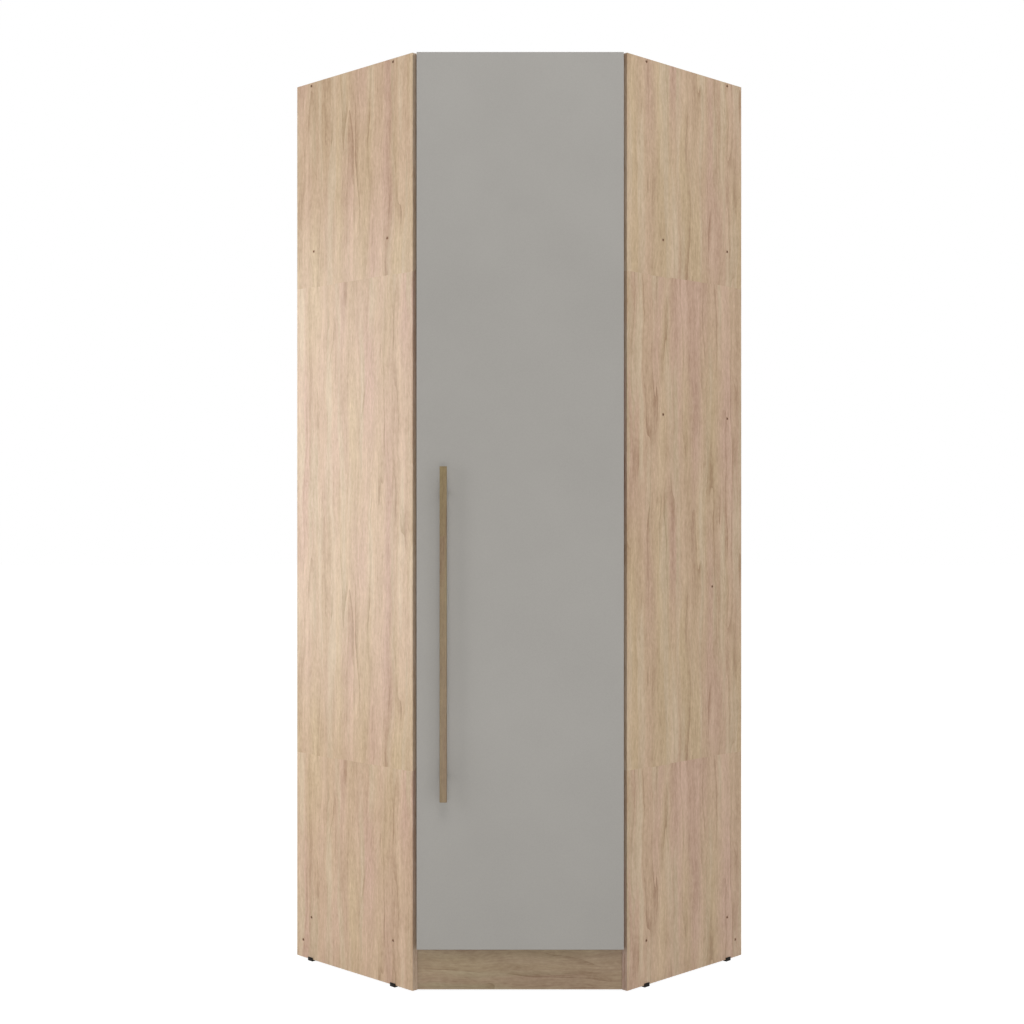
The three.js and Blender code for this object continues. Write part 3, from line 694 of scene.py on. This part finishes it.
def hinge_cup(pin_x, pin_y):
    """The cup, from the middle of its mouth on the door's back."""
    shape = bmesh.new()
    bore = CUP_RADIUS - CUP_WALL
    top = SEAT_GAP + FLANGE_THICKNESS
    profile = [
        (0, -CUP_DEPTH),
        (CUP_RADIUS - CUP_ROUND, -CUP_DEPTH),
        (CUP_RADIUS, CUP_ROUND - CUP_DEPTH),
        (CUP_RADIUS, SEAT_GAP),
        (CUP_RIM, SEAT_GAP),
        (CUP_RIM, top - SOFT_EDGE),
        (CUP_RIM - SOFT_EDGE, top),
        (bore + SOFT_EDGE, top),
        (bore, top - SOFT_EDGE),
        (bore, CUP_WALL + CUP_ROUND - CUP_DEPTH),
        (bore - CUP_ROUND, CUP_WALL - CUP_DEPTH),
        (0, CUP_WALL - CUP_DEPTH),
    ]
    turned(shape, profile, FINE_SIDES, Z_TO_Y)
    for way in (-1, 1):
        wing(shape, way, top)
        place = moved(-WING_INSET, top, way * WING_SCREW_REACH) @ Z_TO_Y
        screw_head(shape, place, *WING_SCREW)
        cheeks = sorted((way * CHEEK_NEAR, way * CHEEK_FAR))
        block(
            shape,
            (pin_x - CHEEK_WIDTH / 2, CUP_WALL / 2 - CUP_DEPTH, cheeks[0]),
            (pin_x + CHEEK_WIDTH / 2, pin_y + CHEEK_RISE, cheeks[1]),
            SOFT_EDGE,
        )
    pin = [(0, -PIN_REACH), (PIN_RADIUS, -PIN_REACH), (PIN_RADIUS, PIN_REACH), (0, PIN_REACH)]
    turned(shape, pin, SCREW_SIDES, moved(pin_x, pin_y, 0))
    return shape


def strip(shape, start, end):
    """Adds a strip of the arm between two points in plan, run on by half its thickness."""
    way = (end - start).normalized()
    half = ARM_THICKNESS / 2
    length = (end - start).length
    turn = Matrix.Rotation(math.atan2(way.y, way.x), 4, "Z")
    block(
        shape,
        (-half, -half, -ARM_WIDTH / 2),
        (length + half, half, ARM_WIDTH / 2),
        SOFT_EDGE,
        Matrix.Translation(start) @ turn,
    )


def hinge_arm(onto_panel, top):
    """The arm, from the pin's middle. onto_panel goes from the side panel's frame to the pin's."""
    shape = bmesh.new()
    half = ARM_WIDTH / 2
    eye = [
        (EYE_BORE, -half),
        (EYE_RADIUS, -half),
        (EYE_RADIUS, half),
        (EYE_BORE, half),
        (EYE_BORE, -half),
    ]
    turned(shape, eye, SCREW_SIDES)
    elbow = Vector((-ARM_REACH, 0, 0))
    bend = Vector((-ARM_REACH, ARM_RISE, 0))
    strip(shape, Vector((-EYE_RADIUS, 0, 0)), elbow)
    strip(shape, elbow, bend)
    strip(shape, bend, onto_panel @ Vector((CHANNEL_START, top - ARM_THICKNESS / 2, 0)))

    # The channel is pressed from sheet, open towards the plate and at its far end
    channel = bmesh.new()
    size = Vector((CHANNEL_END - CHANNEL_START, CHANNEL_DEPTH, CHANNEL_WIDTH))
    middle = Vector(((CHANNEL_END + CHANNEL_START) / 2, top - CHANNEL_DEPTH / 2, 0))
    sized = Matrix.Translation(middle) @ Matrix.Diagonal((*size, 1))
    bmesh.ops.create_cube(channel, size=1.0, matrix=sized)
    channel.normal_update()
    open_faces = [f for f in channel.faces if f.normal.y < -0.5 or f.normal.x > 0.5]
    bmesh.ops.delete(channel, geom=open_faces, context="FACES")
    bmesh.ops.bevel(
        channel,
        geom=[e for e in channel.edges if len(e.link_faces) == 2],
        offset=2 * CHANNEL_WALL,
        segments=3,
        profile=0.5,
        affect="EDGES",
        clamp_overlap=True,
        material=-1,
    )
    bmesh.ops.solidify(channel, geom=channel.faces[:], thickness=CHANNEL_WALL)
    join(shape, channel, onto_panel)
    for along in CHANNEL_SCREWS:
        screw_head(shape, onto_panel @ moved(along, top, 0) @ Z_TO_Y, *CHANNEL_SCREW)
    return shape


def hinge_plate(top):
    """The mounting plate, from the front of the side panel's inner face."""
    shape = bmesh.new()
    base_top = SEAT_GAP + PLATE_THICKNESS
    middle = (PLATE_START + PLATE_END) / 2
    block(
        shape,
        (middle - PLATE_WING / 2, SEAT_GAP, -PLATE_REACH),
        (middle + PLATE_WING / 2, base_top, PLATE_REACH),
        2 * SOFT_EDGE,
    )
    block(
        shape,
        (PLATE_START, SEAT_GAP, -SADDLE_WIDTH / 2),
        (PLATE_END, top - CHANNEL_DEPTH - SEAT_GAP, SADDLE_WIDTH / 2),
        2 * SOFT_EDGE,
    )
    for way in (-1, 1):
        place = moved(middle, base_top, way * PLATE_SCREW_REACH) @ Z_TO_Y
        screw_head(shape, place, *PLATE_SCREW)
    return shape


for node in sorted(n for n in frame["nodes"] if n.startswith("hinge_") and n.endswith("_cup")):
    height = middle_of(node, UP)
    name = node.removesuffix("_cup")
    at_cup = moved(cup_x, door_back, height)
    at_pin = moved(pivot.x, pivot.y, height)
    turn = Matrix((panel_along, panel_out, UP)).transposed().to_4x4()
    at_panel = moved(panel_corner.x, panel_corner.y, height) @ turn
    onto_panel = at_pin.inverted() @ at_panel
    bend = at_panel.inverted() @ at_pin @ Vector((-ARM_REACH, ARM_RISE, 0))
    top = bend.y + ARM_THICKNESS / 2
    shape = hinge_cup(pivot.x - cup_x, pivot.y - door_back)
    add_piece(name + "_sprung_cup", shape, nickel, "door", [node], at_cup)
    shape = hinge_arm(onto_panel, top)
    arm = name + "_arm"
    add_piece(name + "_bent_arm", shape, nickel, "carcass", [arm], at_pin)
    plate = name + "_plate"
    shape = hinge_plate(top)
    add_piece(
        name + "_mounting_plate", shape, nickel, "carcass", [plate], at_panel
    )

# Hanging rail, from its flange on the left side panel to a bracket under the hat shelf
RAIL_RADIUS = 12.5 * MM
RAIL_BORE = 11.5 * MM
RING_BORE = 12.8 * MM
RING_RADIUS = 15.3 * MM
FLANGE_RADIUS = 27 * MM
FLANGE_BASE = 3 * MM
COLLAR_LENGTH = 14 * MM
FLANGE_SCREWS = 3
FLANGE_SCREW_REACH = 21 * MM
RAIL_SCREW = (3.5 * MM, 1.6 * MM)
STEM_HALF = 6 * MM
BRACKET_HALF = 7 * MM
BRACKET_REACH = 23 * MM
BRACKET_THICKNESS = 2.5 * MM
BRACKET_SCREW_REACH = 16 * MM

along_rail = INWARD["left"]
start, end = extent("hanging_rail", along_rail)
length = end - start
shape = bmesh.new()
tube = [
    (RAIL_BORE, 0),
    (RAIL_RADIUS - SOFT_EDGE, 0),
    (RAIL_RADIUS, SOFT_EDGE),
    (RAIL_RADIUS, length - SOFT_EDGE),
    (RAIL_RADIUS - SOFT_EDGE, length),
    (RAIL_BORE, length),
    (RAIL_BORE, 0),
]
turned(shape, tube, FINE_SIDES)
place = end_frame("hanging_rail", along_rail)
add_piece("hanging_tube", shape, chrome, "carcass", ["hanging_rail"], place)

shape = bmesh.new()
flange = [
    (0, 0),
    (FLANGE_RADIUS, 0),
    (FLANGE_RADIUS, FLANGE_BASE - 2 * SOFT_EDGE),
    (FLANGE_RADIUS - 2 * SOFT_EDGE, FLANGE_BASE),
    (RING_RADIUS + SOFT_EDGE, FLANGE_BASE),
    (RING_RADIUS, FLANGE_BASE + SOFT_EDGE),
    (RING_RADIUS, COLLAR_LENGTH - SOFT_EDGE),
    (RING_RADIUS - SOFT_EDGE, COLLAR_LENGTH),
    (RING_BORE, COLLAR_LENGTH),
    (RING_BORE, FLANGE_BASE),
    (0, FLANGE_BASE),
]
turned(shape, flange, FINE_SIDES)
for number in range(FLANGE_SCREWS):
    turn = Matrix.Rotation(math.tau * number / FLANGE_SCREWS + math.pi / 2, 4, "Z")
    screw_head(shape, turn @ moved(FLANGE_SCREW_REACH, 0, FLANGE_BASE), *RAIL_SCREW)
place = end_frame("rail_flange", along_rail)
add_piece("rail_socket", shape, nickel, "carcass", ["rail_flange"], place)

# In the bracket's frame the rail runs along Z, and -Y is up
rail_height = middle_of("hanging_rail", UP)
bracket_top = extent("rail_bracket", UP)[1] - rail_height
shape = bmesh.new()
ring = [
    (RING_BORE, -BRACKET_HALF),
    (RING_RADIUS - SOFT_EDGE, -BRACKET_HALF),
    (RING_RADIUS, SOFT_EDGE - BRACKET_HALF),
    (RING_RADIUS, BRACKET_HALF - SOFT_EDGE),
    (RING_RADIUS - SOFT_EDGE, BRACKET_HALF),
    (RING_BORE, BRACKET_HALF),
    (RING_BORE, -BRACKET_HALF),
]
turned(shape, ring, FINE_SIDES)
block(
    shape,
    (-STEM_HALF, -bracket_top, -BRACKET_HALF),
    (STEM_HALF, -(RING_BORE + RING_RADIUS) / 2, BRACKET_HALF),
    2 * SOFT_EDGE,
)
block(
    shape,
    (-BRACKET_REACH, -bracket_top, -BRACKET_HALF),
    (BRACKET_REACH, BRACKET_THICKNESS - bracket_top, BRACKET_HALF),
    2 * SOFT_EDGE,
)
for way in (-1, 1):
    screw_place = moved(way * BRACKET_SCREW_REACH, BRACKET_THICKNESS - bracket_top, 0) @ Z_TO_Y
    screw_head(shape, screw_place, *RAIL_SCREW)
place = end_frame("rail_bracket", along_rail)
rise = place.translation.z - rail_height
place = Matrix.Translation(along_rail * BRACKET_HALF - UP * rise) @ place
add_piece("rail_hanger", shape, nickel, "carcass", ["rail_bracket"], place)

# Glides: a foot under the board with a lip over its face, held by a nail
GLIDE_THICKNESS = 4 * MM
GLIDE_LIP = 1.5 * MM
GLIDE_DEPTH = 11 * MM
LIP_ROUND = 0.5 * MM
FOOT_ROUND = 1.8 * MM
GLIDE_NAIL = (1.5 * MM, 0.4 * MM)
for node in sorted(n for n in frame["nodes"] if n.endswith("_glide")):
    right = node.startswith("right")
    along, out = (RIGHT_WALL, LEFT_WALL) if right else (LEFT_WALL, RIGHT_WALL)
    # The lip of a rail's glide is on its room side, and the others' are on the panel's outside
    lip_way, across = (out, along) if "rail" in node else (along, out)
    far = extent(node, lip_way)[1]
    near = far - GLIDE_DEPTH
    start, end = extent(node, across)
    low, high = extent(node, UP)
    place = Matrix((lip_way, across, UP)).transposed().to_4x4()
    shape = bmesh.new()
    foot_end = far - GLIDE_LIP / 2
    block(shape, (near, start, low), (foot_end, end, low + GLIDE_THICKNESS), FOOT_ROUND)
    block(shape, (far - GLIDE_LIP, start, low), (far, end, high), LIP_ROUND)
    middle = moved(far, (start + end) / 2, (low + GLIDE_THICKNESS + high) / 2)
    screw_head(shape, middle @ Z_TO_X, *GLIDE_NAIL)
    add_piece(node + "_foot", shape, black, "carcass", [node], place)

# Soft drops between the door and the carcass, domed towards the door
DROP_ROUND = 1.4 * MM
for end in ("lower", "upper"):
    node = end + "_door_bumper"
    radius = (extent(node, UP)[1] - extent(node, UP)[0]) / 2
    length = extent(node, FRONT_TO_BACK)[1] - extent(node, FRONT_TO_BACK)[0]
    shape = bmesh.new()
    drop = [
        (0, 0),
        (radius - 2 * DROP_ROUND, 0),
        (radius - DROP_ROUND / 2, DROP_ROUND / 2),
        (radius, DROP_ROUND),
        (radius, length),
        (0, length),
    ]
    turned(shape, drop, FINE_SIDES)
    place = end_frame(node, FRONT_TO_BACK)
    add_piece(end + "_soft_drop", shape, clear, "carcass", [node], place)

# Nails through the back boards into the edges of the boards in front of them
NAIL_RADIUS = 3 * MM
NAIL_RISE = 0.6 * MM
NAIL_FLAT = 0.7 * NAIL_RADIUS
NAIL_RIM = 0.4 * NAIL_RISE
NAIL_PITCH = 150 * MM
NAIL_SIDES = 12
NAIL_MARGIN = 20 * MM


def spaced(start, end):
    """Places between two ends, evenly spaced near the nails' pitch."""
    count = max(round((end - start) / NAIL_PITCH), 1)
    return [start + (end - start) * i / count for i in range(count + 1)]


for side, along, out in (("right", RIGHT_WALL, LEFT_WALL), ("left", LEFT_WALL, RIGHT_WALL)):
    board = side + "_back_board"
    wall = extent(board, out)[0]
    low, high = extent(board, UP)
    low, high = low + NAIL_MARGIN, high - NAIL_MARGIN
    near = extent("corner_post", along)[1] - NAIL_MARGIN / 2
    far = middle_of(side + "_side_panel", along)
    spots = [(reach, height) for reach in (near, far) for height in spaced(low, high)]
    levels = [(node, near) for node in ("top_panel", "hat_shelf", "bottom_panel")]
    if side == "right":
        divider = middle_of("column_divider", along)
        shelf_top = middle_of("hat_shelf", UP)
        spots += [(divider, height) for height in spaced(low, shelf_top)[:-1]]
        levels += [("upper_column_shelf", divider), ("lower_column_shelf", divider)]
    for node, start in levels:
        spots += [(reach, middle_of(node, UP)) for reach in spaced(start, far)[1:-1]]
    place = Matrix((along, out, UP)).transposed().to_4x4()
    shape = bmesh.new()
    head = [
        (0, -NAIL_RISE),
        (NAIL_FLAT, -NAIL_RISE),
        (NAIL_RADIUS, -NAIL_RIM),
        (NAIL_RADIUS, NAIL_RISE),
        (0, NAIL_RISE),
    ]
    for reach, height in spots:
        turned(shape, head, NAIL_SIDES, moved(reach, wall, height) @ Z_TO_Y)
    add_piece(side + "_back_nails", shape, zinc, "carcass", place=place)

# Stage. The floor's own glow and the light on it make white, but for the wardrobe's shadow.
FLOOR_REACH = 30
FLOOR_GLOW = 0.93
# How strongly the white surroundings light the wardrobe
AMBIENT = 0.4
floor_mesh = bpy.data.meshes.new("floor")
floor_shape = bmesh.new()
bmesh.ops.create_grid(floor_shape, x_segments=1, y_segments=1, size=FLOOR_REACH)
floor_shape.to_mesh(floor_mesh)
floor_shape.free()
floor = bpy.data.objects.new("floor", floor_mesh)
bpy.context.scene.collection.objects.link(floor)


def seen_directly(tree):
    """One for rays from the camera, and for those that metal or glass sends on."""
    path = add(tree, "LightPath", {}).node
    seen = path.outputs["Is Camera Ray"]
    for name in ("Is Glossy Ray", "Is Transmission Ray"):
        seen = add(tree, "Math", {0: seen, 1: path.outputs[name]}, operation="MAXIMUM")
    return seen


def pale_floor():
    # Matt white studio floor: it shows white, and keeps a faint shadow of the wardrobe.
    material = bpy.data.materials.new("white_studio_floor")
    material.use_nodes = True
    tree = material.node_tree
    tree.nodes.remove(tree.nodes["Principled BSDF"])
    plain = add(tree, "BsdfDiffuse", {"Color": linear("#D6D5D2")})
    shown = add(tree, "BsdfDiffuse", {"Color": linear("#8F8F8F")})
    glow = add(tree, "Emission", {"Color": linear("#FFFFFF"), "Strength": FLOOR_GLOW})
    bright = add(tree, "AddShader", {0: shown, 1: glow})
    surface = add(tree, "MixShader", {0: seen_directly(tree), 1: plain, 2: bright})
    tree.links.new(surface, tree.nodes["Material Output"].inputs["Surface"])
    return material


floor_mesh.materials.append(pale_floor())

world = bpy.data.worlds.new("white_studio")
bpy.context.scene.world = world
world.use_nodes = True
tree = world.node_tree
strength = add(tree, "MapRange", {"Value": seen_directly(tree), "To Min": AMBIENT, "To Max": 1.0})
tree.nodes["Background"].inputs["Color"].default_value = linear("#FFFFFF")
tree.links.new(strength, tree.nodes["Background"].inputs["Strength"])


def add_lamp(name, place, target, size, power):
    """Adds a soft lamp, turned to its target."""
    data = bpy.data.lights.new(name, "AREA")
    data.shape = "RECTANGLE"
    data.size, data.size_y = size
    data.energy = power
    lamp = bpy.data.objects.new(name, data)
    lamp.location = place
    lamp.rotation_euler = (Vector(target) - Vector(place)).to_track_quat("-Z", "Y").to_euler()
    bpy.context.scene.collection.objects.link(lamp)


# Each lamp's place, its target, its width and height, and its power in watts. The side
# softbox shows as a soft shine on the left panel.
LAMPS = (
    ("side_softbox", (-2.0, 0.05, 1.29), (-0.45, -0.25, 1.29), (1.3, 1.65), 16),
    ("left_softbox", (-2.4, -1.9, 1.3), (-0.3, -0.35, 1.25), (0.9, 1.4), 10.5),
    ("right_softbox", (3.2, -1.4, 3.6), (0.3, -0.2, 1.6), (1.6, 1.6), 25),
    ("far_softbox", (2.6, -3.3, 1.3), (0.1, -0.43, 1.1), (1.4, 2.2), 12.5),
    ("top_softbox", (0, -3, 4.5), (0, 0, 1.2), (2, 2), 54),
    ("front_softbox", (0, -3.2, 0.35), (0, 0, 0.3), (1.6, 0.4), 8.5),
    ("left_rear_softbox", (-2.2, 3.4, 2.6), (-0.2, 0.2, 1.2), (2, 2), 40),
    ("right_rear_softbox", (2.2, 3.4, 2.6), (0.2, 0.2, 1.2), (2, 2), 40),
)
for lamp in LAMPS:
    add_lamp(*lamp)

camera_data = bpy.data.cameras.new("camera")
camera_data.lens = LENS
camera_data.sensor_width = SENSOR
camera = bpy.data.objects.new("camera", camera_data)
camera.location = CAMERA_PLACE
camera.rotation_euler = (math.pi / 2, 0, 0)
bpy.context.scene.collection.objects.link(camera)
bpy.context.scene.camera = camera
bpy.context.scene.view_settings.view_transform = "Standard"
